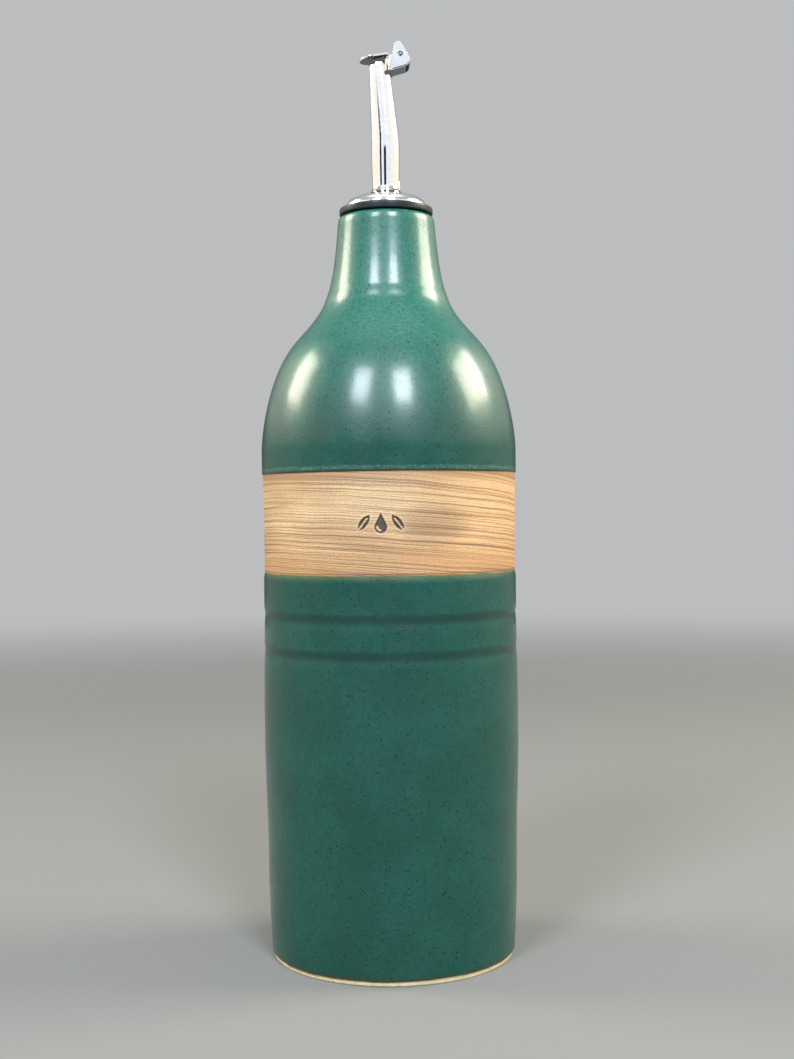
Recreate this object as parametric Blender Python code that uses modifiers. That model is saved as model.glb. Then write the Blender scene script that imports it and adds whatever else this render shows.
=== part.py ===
"""Ceramic oil bottle with a flip-top pourer.

Units are metres and +Z is up. The origin is the centre of the foot, on the surface the bottle stands on.
The front, with the stamped motif on the bare clay band, faces -Y, and the spout leans towards -X.
"""

import math

import bmesh
import bpy
from mathutils import Matrix, Vector

# Gap between pieces that touch
GAP = 0.0003

# Facets round the turned pieces
BOTTLE_STEPS = 64
FITTING_STEPS = 48

# Edges that turn by more than this are shaded crisp
CRISP_ANGLE = math.radians(35)

# Lip and neck of the bottle
LIP_TOP = 0.2374
LIP_RADIUS = 0.0155
LIP_ROUND = 0.0011
NECK_LEAN = 0.076
NECK_PULL = 0.0285

# Shoulder: the point where the neck's hollow curve turns into the shoulder's round one
SHOULDER_RADIUS = 0.0297
SHOULDER_HEIGHT = 0.1968
SHOULDER_ANGLE = math.radians(40.9)
SHOULDER_PULL_UP = 0.0134
SHOULDER_PULL_DOWN = 0.0138

# Body: nearly straight, with a slight waist under the band and a belly below it
BODY_RADIUS = 0.0410
BODY_TOP = 0.1618
BODY_TOP_PULL = 0.0055
WAIST_RADIUS = 0.0407
BELLY_HEIGHT = 0.0800
BELLY_END = 0.0700
LOWER_BODY_HEIGHT = 0.0330
LOWER_BODY_RADIUS = 0.0402

# Bare clay band round the body, a glaze's thickness below the glazed surface
BAND_TOP = 0.1545
BAND_BOTTOM = 0.1236
GLAZE_STEP = 0.0003

# Two soft throwing grooves under the band
GROOVE_HEIGHTS = (0.1101, 0.0991)
GROOVE_DEPTH = 0.00018
GROOVE_HALF_WIDTH = 0.0022

# Foot: the glaze ends just above a rim of bare clay
FOOT_RADIUS = 0.0391
GLAZE_END = 0.0016
CLAY_FOOT_RADIUS = 0.0386
FOOT_BEVEL = 0.0004

# Stamped motif on the band: a drop between two olive leaves, each pressed in square to the surface
STAMP_X = -0.0026
STAMP_HEIGHT = 0.1389
STAMP_DEPTH = 0.00045
STAMP_MARGIN = 0.0044
DROP_HEIGHT = 0.0064
DROP_WIDTH = 0.0040
LEAF_LENGTH = 0.0062
LEAF_WIDTH = 0.0026
LEAF_OFFSET = 0.0052
LEAF_TILT = math.radians(52)

# Black stopper flange, resting on the lip
FLANGE_RADIUS = 0.01505
FLANGE_THICKNESS = 0.0022
FLANGE_ROUND = 0.0004

# Steel collar: a low dome with a boss that carries the spout
COLLAR_RADIUS = 0.0129
COLLAR_HEIGHT = 0.0036
COLLAR_CROWN_RADIUS = 0.0072
BOSS_RADIUS = 0.0048
BOSS_HEIGHT = 0.0010

# Spout: a tube that is straight at first and then leans to the left as it tapers
FLARE_RADIUS = 0.00507
FLARE_HEIGHT = 0.0019
SPOUT_BASE_RADIUS = 0.00430
SPOUT_BELLY_RADIUS = 0.00458
SPOUT_TIP_RADIUS = 0.00325
SPOUT_BELLY_HEIGHT = 0.2600
SPOUT_TIP_HEIGHT = 0.2868
SPOUT_LEAN = math.radians(4.2)
BEND_START = 0.2595
BEND_END = 0.2655
MOUTH_RADIUS = 0.0026
MOUTH_DEPTH = 0.0120

# Air vent: a short tube fused to the foot of the spout
VENT_X = 0.0035
VENT_RADIUS = 0.00115
VENT_TOP = 0.2488

# Hinge pin, across the bracket
PIN_X = 0.0051
PIN_HEIGHT = 0.2887
PIN_RADIUS = 0.00075
PIN_CLEARANCE = 0.0001
PIN_RECESS = 0.0003

# Hinge bracket: two ears, each with a tall fin and a round heel, joined by a pan under them
SHEET = 0.0007
BRACKET_HALF_WIDTH = 0.0044
FIN_CENTRE = Vector((0.00445, 0.2915))
FIN_RADIUS = 0.0013
HEEL_CENTRE = Vector((0.0057, 0.2873))
HEEL_RADIUS = 0.00225
EAR_FRONT = 0.00155
EAR_FRONT_TOP = 0.2885
EAR_NOTCH = Vector((0.00255, 0.2886))
FLOOR_SLOPE = math.radians(15)
PAN_PROUD = 0.0003
PAN_END_ANGLE = math.radians(15)

# Saddle: the front of the bracket, bent in to hug the spout
SADDLE_BOTTOM = 0.2836
SADDLE_TOP = 0.2874
SADDLE_FRONT = 0.0002
SADDLE_FRONT_HALF_WIDTH = 0.0035
SADDLE_BEND = 0.0016
SADDLE_BACK = 0.0026

# Flap: a tongue over the mouth, stepping down to a narrower stem that ends in a barrel round the pin
LID_TILT = math.radians(8.5)
LID_THICKNESS = 0.0006
LID_HALF_WIDTH = 0.0044
LID_TIP_REACH = 0.0131
LID_BACK_REACH = 0.0038
LID_ABOVE_PIN = 0.0008
STEM_HALF_WIDTH = 0.0032
BARREL_RADIUS = 0.0015

# Heights that follow from the pieces stacked on the lip
FLANGE_BOTTOM = LIP_TOP + GAP
COLLAR_BOTTOM = FLANGE_BOTTOM + FLANGE_THICKNESS + GAP
SPOUT_BOTTOM = COLLAR_BOTTOM + COLLAR_HEIGHT + BOSS_HEIGHT + GAP


def clear_scene():
    for obj in list(bpy.data.objects):
        bpy.data.objects.remove(obj, do_unlink=True)


def new_collection(name):
    collection = bpy.data.collections.new(name)
    bpy.context.scene.collection.children.link(collection)
    return collection


def new_material(name, colour, roughness, metallic):
    material = bpy.data.materials.new(name)
    material.use_nodes = True
    shader = material.node_tree.nodes["Principled BSDF"]
    shader.inputs["Base Color"].default_value = (*colour, 1.0)
    shader.inputs["Roughness"].default_value = roughness
    shader.inputs["Metallic"].default_value = metallic
    material.diffuse_color = (*colour, 1.0)
    return material


def add_object(name, data, collection):
    obj = bpy.data.objects.new(name, data)
    collection.objects.link(obj)
    return obj


def crisp_edges():
    """A node group that shades a mesh smooth, except across its sharper edges."""
    if "Crisp edges" in bpy.data.node_groups:
        return bpy.data.node_groups["Crisp edges"]
    group = bpy.data.node_groups.new("Crisp edges", "GeometryNodeTree")
    group.interface.new_socket("Geometry", in_out="INPUT", socket_type="NodeSocketGeometry")
    group.interface.new_socket("Geometry", in_out="OUTPUT", socket_type="NodeSocketGeometry")
    shade_faces = group.nodes.new("GeometryNodeSetShadeSmooth")
    shade_edges = group.nodes.new("GeometryNodeSetShadeSmooth")
    shade_edges.domain = "EDGE"
    compare = group.nodes.new("FunctionNodeCompare")
    compare.operation = "LESS_THAN"
    compare.inputs["B"].default_value = CRISP_ANGLE
    edge_angle = group.nodes.new("GeometryNodeInputMeshEdgeAngle")
    group_input = group.nodes.new("NodeGroupInput")
    group_output = group.nodes.new("NodeGroupOutput")
    group.links.new(group_input.outputs[0], shade_faces.inputs["Geometry"])
    group.links.new(shade_faces.outputs["Geometry"], shade_edges.inputs["Geometry"])
    group.links.new(edge_angle.outputs["Unsigned Angle"], compare.inputs["A"])
    group.links.new(compare.outputs["Result"], shade_edges.inputs["Shade Smooth"])
    group.links.new(shade_edges.outputs["Geometry"], group_output.inputs[0])
    return group


def finish_piece(obj, material):
    """Gives a piece its one material and smooth shading with crisp edges."""
    obj.data.materials.clear()
    obj.data.materials.append(material)
    modifier = obj.modifiers.new("Crisp edges", "NODES")
    modifier.node_group = crisp_edges()


def as_cutter(obj):
    obj.hide_render = True
    obj.display_type = "WIRE"
    return obj


def add_boolean(obj, other, operation="DIFFERENCE"):
    modifier = obj.modifiers.new(f"{operation} {other.name}", "BOOLEAN")
    modifier.operation = operation
    modifier.solver = "EXACT"
    modifier.object = as_cutter(other)


def bezier(start, start_pull, end_pull, end, steps):
    """Points of a cubic Bezier curve, without its first point."""
    points = []
    for step in range(1, steps + 1):
        t = step / steps
        s = 1.0 - t
        points.append(s**3 * start + 3 * s * s * t * start_pull + 3 * s * t * t * end_pull + t**3 * end)
    return points


def arc(centre, radius, start, end, steps):
    """Points of a circular arc from one angle to another, with both ends."""
    angles = [start + (end - start) * step / steps for step in range(steps + 1)]
    return [centre + radius * Vector((math.cos(angle), math.sin(angle))) for angle in angles]


def ease(value, low, high):
    """0 below low, 1 above high, and a smooth rise between them."""
    t = min(max((value - low) / (high - low), 0.0), 1.0)
    return t * t * (3.0 - 2.0 * t)


def blend(low_value, high_value, share):
    return low_value + (high_value - low_value) * share


def turned(name, profile, steps, collection):
    """A solid turned about Z from (radius, height) points that run down its outer side."""
    mesh = bpy.data.meshes.new(name)
    points = [(radius, 0.0, height) for radius, height in profile]
    edges = [(index, index + 1) for index in range(len(points) - 1)]
    mesh.from_pydata(points, edges, [])
    obj = add_object(name, mesh, collection)
    screw = obj.modifiers.new("Turn", "SCREW")
    screw.axis = "Z"
    screw.steps = steps
    screw.render_steps = steps
    screw.use_merge_vertices = True
    screw.merge_threshold = 0.00001
    screw.use_smooth_shade = True
    return obj


def mesh_from_curve(obj, collection):
    """Replaces a curve object by a closed mesh object of the same name, in the same place."""
    bpy.context.view_layer.update()
    graph = bpy.context.evaluated_depsgraph_get()
    mesh = bpy.data.meshes.new_from_object(obj.evaluated_get(graph))
    edit = bmesh.new()
    edit.from_mesh(mesh)
    bmesh.ops.remove_doubles(edit, verts=edit.verts, dist=0.000001)
    bmesh.ops.recalc_face_normals(edit, faces=edit.faces)
    edit.to_mesh(mesh)
    edit.free()
    name = obj.name
    matrix = obj.matrix_world.copy()
    bpy.data.objects.remove(obj, do_unlink=True)
    solid = add_object(name, mesh, collection)
    solid.matrix_world = matrix
    return solid


def sheet(name, outline, half_thickness, matrix, collection):
    """A flat sheet of this outline, drawn in its own XY plane and placed by a matrix."""
    curve = bpy.data.curves.new(name, "CURVE")
    curve.dimensions = "2D"
    curve.fill_mode = "BOTH"
    curve.extrude = half_thickness
    spline = curve.splines.new("POLY")
    spline.points.add(len(outline) - 1)
    for point, (x, y) in zip(spline.points, outline):
        point.co = (x, y, 0.0, 1.0)
    spline.use_cyclic_u = True
    obj = add_object(name, curve, collection)
    obj.matrix_world = matrix
    return mesh_from_curve(obj, collection)


def upright(y):
    """The place of a sheet whose outline is drawn in X and Z, at this Y."""
    return Matrix.Translation((0.0, y, 0.0)) @ Matrix.Rotation(math.radians(90), 4, "X")


def bar_across(name, centre, radius, half_length, sides, collection):
    """A round bar along Y."""
    mesh = bpy.data.meshes.new(name)
    edit = bmesh.new()
    bmesh.ops.create_cone(
        edit, cap_ends=True, segments=sides, radius1=radius, radius2=radius, depth=2 * half_length
    )
    edit.to_mesh(mesh)
    edit.free()
    bar = add_object(name, mesh, collection)
    bar.matrix_world = Matrix.Translation(centre) @ Matrix.Rotation(math.radians(90), 4, "X")
    return bar


def neck_and_shoulder():
    """The outline from the middle of the lip to the top of the body."""
    lip_centre = Vector((LIP_RADIUS - LIP_ROUND, LIP_TOP - LIP_ROUND))
    points = arc(lip_centre, LIP_ROUND, math.radians(90), 0.0, 4)
    neck = points[-1]
    shoulder = Vector((SHOULDER_RADIUS, SHOULDER_HEIGHT))
    slope = Vector((math.sin(SHOULDER_ANGLE), -math.cos(SHOULDER_ANGLE)))
    body = Vector((BODY_RADIUS, BODY_TOP))
    neck_pull = neck + NECK_PULL * Vector((NECK_LEAN, -1.0))
    points += bezier(neck, neck_pull, shoulder - SHOULDER_PULL_UP * slope, shoulder, 10)
    shoulder_pull = shoulder + SHOULDER_PULL_DOWN * slope
    points += bezier(shoulder, shoulder_pull, body + Vector((0.0, BODY_TOP_PULL)), body, 8)
    return points


def body_radius(height):
    """The glazed body's radius at a height under BODY_TOP, with its waist, belly and grooves."""
    waist = blend(WAIST_RADIUS, BODY_RADIUS, ease(height, BAND_BOTTOM, BODY_TOP))
    belly = blend(BODY_RADIUS, waist, ease(height, BELLY_HEIGHT, GROOVE_HEIGHTS[0]))
    radius = blend(LOWER_BODY_RADIUS, belly, ease(height, LOWER_BODY_HEIGHT, BELLY_END))
    to_foot = max(1.0 - height / LOWER_BODY_HEIGHT, 0.0)
    radius -= (LOWER_BODY_RADIUS - FOOT_RADIUS) * to_foot**2
    for groove in GROOVE_HEIGHTS:
        away = abs(height - groove) / GROOVE_HALF_WIDTH
        radius -= GROOVE_DEPTH * (1.0 - ease(away, 0.0, 1.0))
    return radius


def body_point(height, inset=0.0):
    return Vector((body_radius(height) - inset, height))


def bottle_profile():
    points = [Vector((0.0, LIP_TOP)), *neck_and_shoulder(), body_point(BAND_TOP)]
    for height in (BAND_TOP, STAMP_HEIGHT + STAMP_MARGIN, STAMP_HEIGHT - STAMP_MARGIN, BAND_BOTTOM):
        points.append(body_point(height, GLAZE_STEP))
    points.append(body_point(BAND_BOTTOM))
    for groove in GROOVE_HEIGHTS:
        for side in (1.0, 0.5, 0.0, -0.5, -1.0):
            points.append(body_point(groove + side * GROOVE_HALF_WIDTH))
    for share in (1.0, 0.6, 0.35, 0.15, 0.0):
        points.append(body_point(blend(LOWER_BODY_HEIGHT, BELLY_HEIGHT, share)))
    for share in (0.6, 0.35, 0.15, 0.0):
        points.append(body_point(blend(GLAZE_END, LOWER_BODY_HEIGHT, share)))
    points.append(Vector((CLAY_FOOT_RADIUS, GLAZE_END)))
    points.append(Vector((CLAY_FOOT_RADIUS, FOOT_BEVEL)))
    points.append(Vector((CLAY_FOOT_RADIUS - FOOT_BEVEL, 0.0)))
    points.append(Vector((0.0, 0.0)))
    return points


def drop_outline():
    """A drop with its point up, centred on the origin."""
    radius = DROP_WIDTH / 2
    centre = Vector((0.0, radius - DROP_HEIGHT / 2))
    tip = Vector((0.0, DROP_HEIGHT / 2))
    from_tip = math.acos(radius / (tip.y - centre.y))
    start = math.radians(90) - from_tip
    return [tip, *arc(centre, radius, start, from_tip + math.radians(90) - math.radians(360), 14)]


def leaf_outline(tilt):
    """A leaf with two pointed ends, made of two arcs, turned from level by the tilt."""
    half = LEAF_LENGTH / 2
    bulge = LEAF_WIDTH / 2
    radius = (half * half + bulge * bulge) / (2 * bulge)
    spread = math.asin(half / radius)
    up = math.radians(90)
    upper = arc(Vector((0.0, bulge - radius)), radius, up + spread, up - spread, 8)
    lower = arc(Vector((0.0, radius - bulge)), radius, spread - up, -spread - up, 8)
    turn = Matrix.Rotation(tilt, 2)
    return [turn @ point for point in upper[:-1] + lower[:-1]]


def press_in(bottle, name, outline, offset, cutters):
    """Presses a motif into the band, square to its surface."""
    band = body_radius(STAMP_HEIGHT) - GLAZE_STEP
    turn = math.asin((STAMP_X + offset) / band)
    cutter_centre = band + STAMP_DEPTH
    place = Matrix.Translation((0.0, 0.0, STAMP_HEIGHT)) @ Matrix.Rotation(turn, 4, "Z")
    cutter = sheet(name, outline, 2 * STAMP_DEPTH, place @ upright(-cutter_centre), cutters)
    add_boolean(bottle, cutter)


def make_bottle(parts, cutters):
    bottle = turned("bottle", bottle_profile(), BOTTLE_STEPS, parts)
    press_in(bottle, "stamp_drop", drop_outline(), 0.0, cutters)
    press_in(bottle, "stamp_leaf_left", leaf_outline(LEAF_TILT), -LEAF_OFFSET, cutters)
    press_in(bottle, "stamp_leaf_right", leaf_outline(-LEAF_TILT), LEAF_OFFSET, cutters)
    finish_piece(bottle, new_material("Teal glaze", (0.040, 0.150, 0.115), 0.35, 0.0))


def make_stopper(parts):
    top = FLANGE_BOTTOM + FLANGE_THICKNESS
    edge = FLANGE_RADIUS - FLANGE_ROUND
    profile = [Vector((0.0, top))]
    profile += arc(Vector((edge, top - FLANGE_ROUND)), FLANGE_ROUND, math.radians(90), 0.0, 2)
    profile += arc(Vector((edge, FLANGE_BOTTOM + FLANGE_ROUND)), FLANGE_ROUND, 0.0, math.radians(-90), 2)
    profile += [Vector((0.0, FLANGE_BOTTOM))]
    stopper = turned("stopper", profile, FITTING_STEPS, parts)
    finish_piece(stopper, new_material("Black stopper", (0.020, 0.020, 0.022), 0.45, 0.0))


def make_collar(parts, steel):
    crown = COLLAR_BOTTOM + COLLAR_HEIGHT
    boss_top = crown + BOSS_HEIGHT
    profile = [Vector((0.0, boss_top)), Vector((BOSS_RADIUS, boss_top)), Vector((BOSS_RADIUS, crown))]
    reach = COLLAR_RADIUS - COLLAR_CROWN_RADIUS
    for point in arc(Vector((0.0, 0.0)), 1.0, math.radians(90), 0.0, 7):
        profile.append(Vector((COLLAR_CROWN_RADIUS + reach * point.x, COLLAR_BOTTOM + COLLAR_HEIGHT * point.y)))
    profile.append(Vector((0.0, COLLAR_BOTTOM)))
    finish_piece(turned("collar", profile, FITTING_STEPS, parts), steel)


def spout_centre(height):
    """The spout's centre line: upright, then leaning to the left after a short bend."""
    bend = BEND_END - BEND_START
    above = height - BEND_START
    if above <= 0.0:
        lean = 0.0
    elif above < bend:
        lean = above * above / (2 * bend)
    else:
        lean = above - bend / 2
    return Vector((-math.tan(SPOUT_LEAN) * lean, 0.0, height))


def spout_radius(height):
    """The spout's radius, from its flared foot over a slight belly to the narrow mouth."""
    if height < SPOUT_BELLY_HEIGHT:
        share = ease(height, SPOUT_BOTTOM, SPOUT_BELLY_HEIGHT)
        radius = blend(SPOUT_BASE_RADIUS, SPOUT_BELLY_RADIUS, share)
    else:
        share = (height - SPOUT_BELLY_HEIGHT) / (SPOUT_TIP_HEIGHT - SPOUT_BELLY_HEIGHT)
        radius = blend(SPOUT_BELLY_RADIUS, SPOUT_TIP_RADIUS, share)
    to_foot = max(1.0 - (height - SPOUT_BOTTOM) / FLARE_HEIGHT, 0.0)
    return radius + (FLARE_RADIUS - SPOUT_BASE_RADIUS) * to_foot**2


def spout_tube(name, heights, extra_radius, collection):
    """A tube along the spout's centre line, thicker than the spout by extra_radius."""
    curve = bpy.data.curves.new(name, "CURVE")
    curve.dimensions = "3D"
    curve.bevel_depth = SPOUT_BELLY_RADIUS
    curve.bevel_resolution = 12
    curve.use_fill_caps = True
    spline = curve.splines.new("POLY")
    spline.points.add(len(heights) - 1)
    for point, height in zip(spline.points, heights):
        point.co = (*spout_centre(height), 1.0)
        point.radius = (spout_radius(height) + extra_radius) / SPOUT_BELLY_RADIUS
    return mesh_from_curve(add_object(name, curve, collection), collection)


def spout_heights():
    """Where the spout's rings lie: close in the flare and the bend, wide apart on the straight runs."""
    flare = [SPOUT_BOTTOM + FLARE_HEIGHT * share for share in (0.0, 0.2, 0.4, 0.7, 1.0)]
    belly = [blend(flare[-1], BEND_START, share) for share in (0.33, 0.67)]
    bend = [blend(BEND_START, BEND_END, share) for share in (0.0, 0.25, 0.5, 0.75, 1.0)]
    return flare + belly + bend + [blend(BEND_END, SPOUT_TIP_HEIGHT, share) for share in (0.5, 1.0)]


def make_spout(parts, cutters, steel):
    spout = spout_tube("spout", spout_heights(), 0.0, parts)
    vent_bottom = SPOUT_BOTTOM + FLARE_HEIGHT / 2
    vent_profile = [Vector((0.0, VENT_TOP)), Vector((VENT_RADIUS, VENT_TOP))]
    vent_profile += [Vector((VENT_RADIUS, vent_bottom)), Vector((0.0, vent_bottom))]
    vent = turned("vent", vent_profile, 16, cutters)
    vent.location = (VENT_X, 0.0, 0.0)
    add_boolean(spout, vent, "UNION")
    tip = spout_centre(SPOUT_TIP_HEIGHT)
    mouth_profile = [Vector((0.0, MOUTH_DEPTH)), Vector((MOUTH_RADIUS, MOUTH_DEPTH))]
    mouth_profile += [Vector((MOUTH_RADIUS, -MOUTH_DEPTH)), Vector((0.0, -MOUTH_DEPTH))]
    mouth = turned("mouth", mouth_profile, 24, cutters)
    mouth.location = tip
    mouth.rotation_euler = (0.0, -SPOUT_LEAN, 0.0)
    add_boolean(spout, mouth)
    finish_piece(spout, steel)


def ear_outline():
    """One ear of the bracket, in X and Z: a low front corner, the fin, the heel and a sloping floor."""
    between = HEEL_CENTRE - FIN_CENTRE
    apart = math.acos((FIN_RADIUS - HEEL_RADIUS) / between.length)
    side = math.atan2(between.y, between.x) + apart
    floor = FLOOR_SLOPE - math.radians(90)
    heel = arc(HEEL_CENTRE, HEEL_RADIUS, side, floor, 10)
    floor_run = heel[-1].x - EAR_FRONT
    corner = Vector((EAR_FRONT, heel[-1].y - floor_run * math.tan(FLOOR_SLOPE)))
    fin = arc(FIN_CENTRE, FIN_RADIUS, math.radians(175), side, 8)
    return [corner, Vector((EAR_FRONT, EAR_FRONT_TOP)), EAR_NOTCH, *fin, *heel]


def pan_outline():
    """The sheet that closes the bracket from below and behind, seen from the side."""
    floor = FLOOR_SLOPE - math.radians(90)
    outer_radius = HEEL_RADIUS + PAN_PROUD
    outer = arc(HEEL_CENTRE, outer_radius, PAN_END_ANGLE, floor, 8)
    inner = arc(HEEL_CENTRE, outer_radius - SHEET, PAN_END_ANGLE, floor, 8)
    for side in (outer, inner):
        run = side[-1].x - EAR_FRONT
        side.append(Vector((EAR_FRONT, side[-1].y - run * math.tan(FLOOR_SLOPE))))
    return outer + inner[::-1]


def saddle_outline():
    """The front of the bracket seen from above, bent in towards the spout."""
    near_side = [
        Vector((SADDLE_FRONT, -SADDLE_FRONT_HALF_WIDTH)),
        Vector((SADDLE_BEND, -BRACKET_HALF_WIDTH)),
        Vector((SADDLE_BACK, -BRACKET_HALF_WIDTH)),
    ]
    far_side = [Vector((point.x, -point.y)) for point in reversed(near_side)]
    return near_side + far_side


def make_bracket(parts, cutters, steel):
    inner_half_width = BRACKET_HALF_WIDTH - SHEET
    overlap = SHEET / 7
    bracket = sheet("hinge_bracket", pan_outline(), inner_half_width + overlap, upright(0.0), parts)
    for side, label in ((-1, "near"), (1, "far")):
        middle = side * (BRACKET_HALF_WIDTH - SHEET / 2)
        ear = sheet(f"ear_{label}", ear_outline(), SHEET / 2, upright(middle), cutters)
        add_boolean(bracket, ear, "UNION")
    saddle_middle = (SADDLE_TOP + SADDLE_BOTTOM) / 2
    saddle_half_height = (SADDLE_TOP - SADDLE_BOTTOM) / 2
    at_saddle = Matrix.Translation((0.0, 0.0, saddle_middle))
    saddle = sheet("saddle", saddle_outline(), saddle_half_height, at_saddle, cutters)
    add_boolean(bracket, saddle, "UNION")
    room_heights = [blend(BEND_END, SPOUT_TIP_HEIGHT + SHEET * 4, share) for share in (0.5, 1.0)]
    add_boolean(bracket, spout_tube("room_for_spout", room_heights, GAP, cutters))
    pin = Vector((PIN_X, 0.0, PIN_HEIGHT))
    hole = bar_across("pin_hole", pin, PIN_RADIUS + PIN_CLEARANCE, 2 * BRACKET_HALF_WIDTH, 16, cutters)
    add_boolean(bracket, hole)
    finish_piece(bracket, steel)


def make_pin(parts, steel):
    centre = Vector((PIN_X, 0.0, PIN_HEIGHT))
    pin = bar_across("hinge_pin", centre, PIN_RADIUS, BRACKET_HALF_WIDTH - PIN_RECESS, 16, parts)
    finish_piece(pin, steel)


def lid_outline():
    """The flap's tongue seen from above, with the hinge axis at X = 0 and the tip towards -X."""
    tip_centre = Vector((LID_HALF_WIDTH - LID_TIP_REACH, 0.0))
    tip = arc(tip_centre, LID_HALF_WIDTH, math.radians(90), math.radians(270), 16)
    return [*tip, Vector((-LID_BACK_REACH, -LID_HALF_WIDTH)), Vector((-LID_BACK_REACH, LID_HALF_WIDTH))]


def stem_outline():
    """The flap's stem seen from the side, with the step that carries the tongue above it."""
    half = LID_THICKNESS / 2
    step_back = -LID_BACK_REACH - LID_THICKNESS / 5
    step_front = step_back - LID_THICKNESS
    return [
        Vector((0.0, half)),
        Vector((step_back, half)),
        Vector((step_back, LID_ABOVE_PIN)),
        Vector((step_front, LID_ABOVE_PIN)),
        Vector((step_front, -half)),
        Vector((0.0, -half)),
    ]


def make_flap(parts, cutters, steel):
    pin = Vector((PIN_X, 0.0, PIN_HEIGHT))
    place = Matrix.Translation(pin) @ Matrix.Rotation(-LID_TILT, 4, "Y")
    lift = Matrix.Translation((0.0, 0.0, LID_ABOVE_PIN))
    flap = sheet("flap", lid_outline(), LID_THICKNESS / 2, place, parts)
    flap.data.transform(lift)
    stem = sheet("stem", stem_outline(), STEM_HALF_WIDTH, place @ upright(0.0), cutters)
    add_boolean(flap, stem, "UNION")
    barrel = bar_across("barrel", pin, BARREL_RADIUS, STEM_HALF_WIDTH, 24, cutters)
    add_boolean(flap, barrel, "UNION")
    bore = bar_across("barrel_bore", pin, PIN_RADIUS + PIN_CLEARANCE, 2 * STEM_HALF_WIDTH, 16, cutters)
    add_boolean(flap, bore)
    finish_piece(flap, steel)


clear_scene()
parts_collection = new_collection("Ceramic oil bottle")
cutter_collection = new_collection("Cutters")
polished_steel = new_material("Polished steel", (0.62, 0.61, 0.59), 0.15, 1.0)
make_bottle(parts_collection, cutter_collection)
make_stopper(parts_collection)
make_collar(parts_collection, polished_steel)
make_spout(parts_collection, cutter_collection, polished_steel)
make_bracket(parts_collection, cutter_collection, polished_steel)
make_pin(parts_collection, polished_steel)
make_flap(parts_collection, cutter_collection, polished_steel)
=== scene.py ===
"""Dressed model of the ceramic oil bottle: glaze, bare clay band, black stopper and polished steel pourer.

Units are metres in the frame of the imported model: +Z up, origin at the centre of the foot, front towards -Y.
"""

import math

import bmesh
import bpy
import numpy as np
from mathutils import Matrix, Vector, noise


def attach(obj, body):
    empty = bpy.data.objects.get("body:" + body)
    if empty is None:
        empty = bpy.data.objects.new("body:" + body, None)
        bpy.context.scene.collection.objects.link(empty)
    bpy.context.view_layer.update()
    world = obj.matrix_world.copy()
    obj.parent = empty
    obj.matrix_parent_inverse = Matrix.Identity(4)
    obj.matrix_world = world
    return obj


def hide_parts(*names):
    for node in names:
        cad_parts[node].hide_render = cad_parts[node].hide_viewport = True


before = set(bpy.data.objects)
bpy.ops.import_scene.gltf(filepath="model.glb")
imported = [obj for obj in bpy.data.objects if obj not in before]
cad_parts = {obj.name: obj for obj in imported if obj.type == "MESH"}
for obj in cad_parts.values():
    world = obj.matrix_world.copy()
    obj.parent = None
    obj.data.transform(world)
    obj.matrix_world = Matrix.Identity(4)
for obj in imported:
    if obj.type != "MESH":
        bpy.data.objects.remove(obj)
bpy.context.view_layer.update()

# Camera fitted to the photograph, which is 794 by 1059 pixels
IMAGE_LONG_SIDE = 1059
FOCAL_PIXELS = 1460
SENSOR = 36.0
CAMERA_PLACE = (0.0, -0.4735, 0.1430)
CAMERA_PITCH = math.radians(-0.8)
CAMERA_YAW = math.radians(0.294)
CAMERA_ROLL = math.radians(-0.62)

# Sizes that the CAD model has too
GAP = 0.0003
LIP_TOP = 0.2374
LIP_RADIUS = 0.0155
LIP_ROUND = 0.0011
NECK_LEAN = 0.076
NECK_PULL = 0.0285
SHOULDER_RADIUS = 0.0297
SHOULDER_HEIGHT = 0.1968
SHOULDER_ANGLE = math.radians(40.9)
SHOULDER_PULL_UP = 0.0134
SHOULDER_PULL_DOWN = 0.0138
BODY_RADIUS = 0.0410
BODY_TOP = 0.1618
BODY_TOP_PULL = 0.0055
WAIST_RADIUS = 0.0407
BELLY_HEIGHT = 0.0800
BELLY_END = 0.0700
LOWER_BODY_HEIGHT = 0.0330
LOWER_BODY_RADIUS = 0.0402
BAND_TOP = 0.1545
BAND_BOTTOM = 0.1236
GLAZE_STEP = 0.0003
GROOVE_HEIGHTS = (0.1101, 0.0991)
FOOT_RADIUS = 0.0391
GLAZE_END = 0.0016
CLAY_FOOT_RADIUS = 0.0386
FOOT_BEVEL = 0.0004
STAMP_X = -0.0026
STAMP_HEIGHT = 0.1389
STAMP_DEPTH = 0.00045
DROP_HEIGHT = 0.0064
DROP_WIDTH = 0.0040
LEAF_LENGTH = 0.0062
LEAF_WIDTH = 0.0026
LEAF_OFFSET = 0.0052
LEAF_TILT = math.radians(52)
FLANGE_RADIUS = 0.01505
FLANGE_THICKNESS = 0.0022
COLLAR_RADIUS = 0.0129
COLLAR_HEIGHT = 0.0036
COLLAR_CROWN_RADIUS = 0.0072
BOSS_RADIUS = 0.0048
BOSS_HEIGHT = 0.0010
FLARE_RADIUS = 0.00507
FLARE_HEIGHT = 0.0019
SPOUT_BASE_RADIUS = 0.00430
SPOUT_BELLY_RADIUS = 0.00458
SPOUT_TIP_RADIUS = 0.00325
SPOUT_BELLY_HEIGHT = 0.2600
SPOUT_TIP_HEIGHT = 0.2868
SPOUT_LEAN = math.radians(4.2)
BEND_START = 0.2595
BEND_END = 0.2655
MOUTH_RADIUS = 0.0026
MOUTH_DEPTH = 0.0120
VENT_X = 0.0035
VENT_RADIUS = 0.00115
VENT_TOP = 0.2488
PIN_X = 0.0051
PIN_HEIGHT = 0.2887
PIN_RADIUS = 0.00075
PIN_CLEARANCE = 0.0001
PIN_RECESS = 0.0003
SHEET = 0.0007
BRACKET_HALF_WIDTH = 0.0044
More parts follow.
